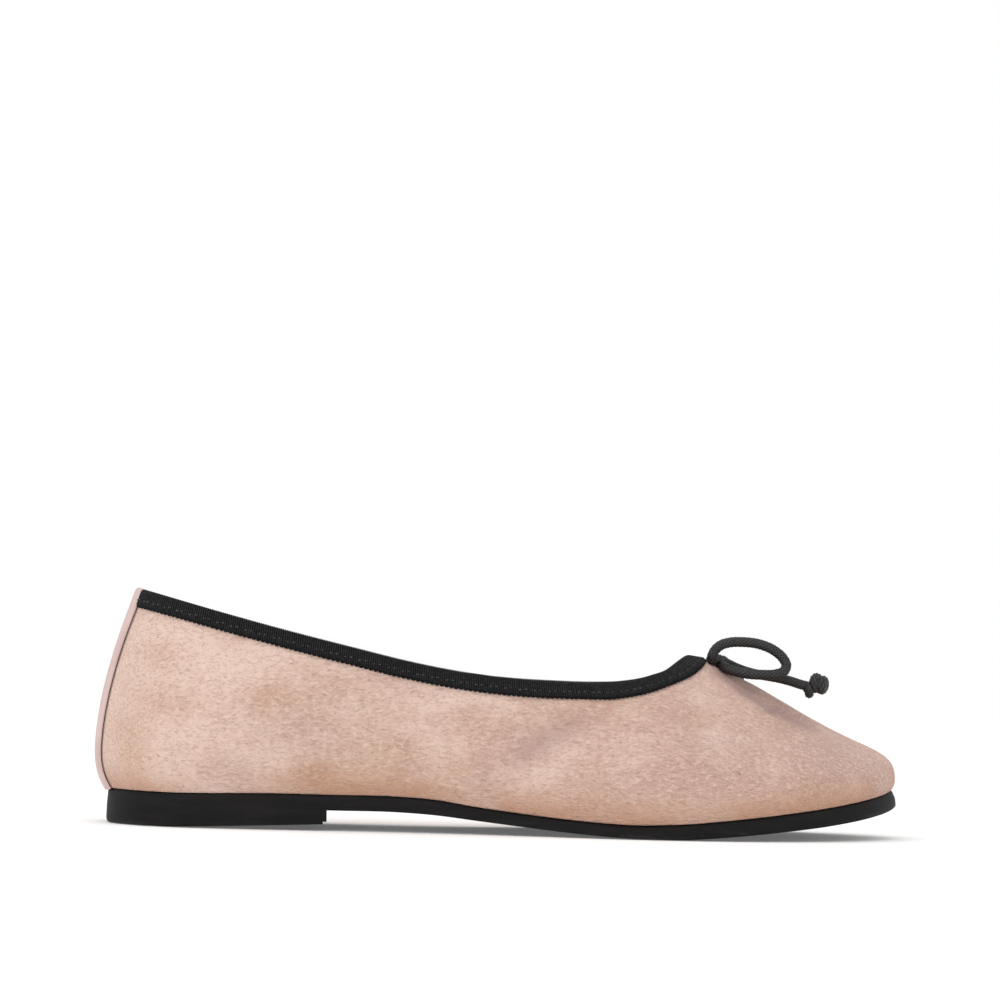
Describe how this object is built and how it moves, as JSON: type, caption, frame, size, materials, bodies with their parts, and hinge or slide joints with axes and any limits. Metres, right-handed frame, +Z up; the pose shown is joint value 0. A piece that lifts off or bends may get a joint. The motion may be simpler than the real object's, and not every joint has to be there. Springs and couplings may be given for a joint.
{
  "type": "ballet flat shoe",
  "caption": "Ballet flat with a low moulded heel, a ribbon folded over the topline, a strip down the back seam and a small cord bow at the throat.",
  "frame": {"origin": "on the floor, under the middle of the shoe's box, bow left out", "axes": "+X towards the toe, +Y towards the inner side of the foot, +Z up"},
  "size_m": [0.2485, 0.0814, 0.0718],
  "materials": {
    "sole_unit": "matte black moulded rubber",
    "suede": "pale pink suede with a short brushed nap",
    "lining_leather": "smooth pale beige lining leather",
    "ribbon": "black ribbed ribbon with a looped edge",
    "strip_leather": "smooth pale pink leather",
    "bow_cord": "black braided round cord, slightly waxy"
  },
  "bodies": {
    "root": {"outsole": "sole_unit", "upper": "suede", "insole": "lining_leather", "topline_binding": "ribbon", "heel_strip": "strip_leather", "bow_knot": "bow_cord", "bow_loop_outer": "bow_cord", "bow_loop_inner": "bow_cord", "bow_tail_outer": "bow_cord", "bow_tail_inner": "bow_cord", "tail_knot_outer": "bow_cord", "tail_knot_inner": "bow_cord"}
  },
  "joints": []
}
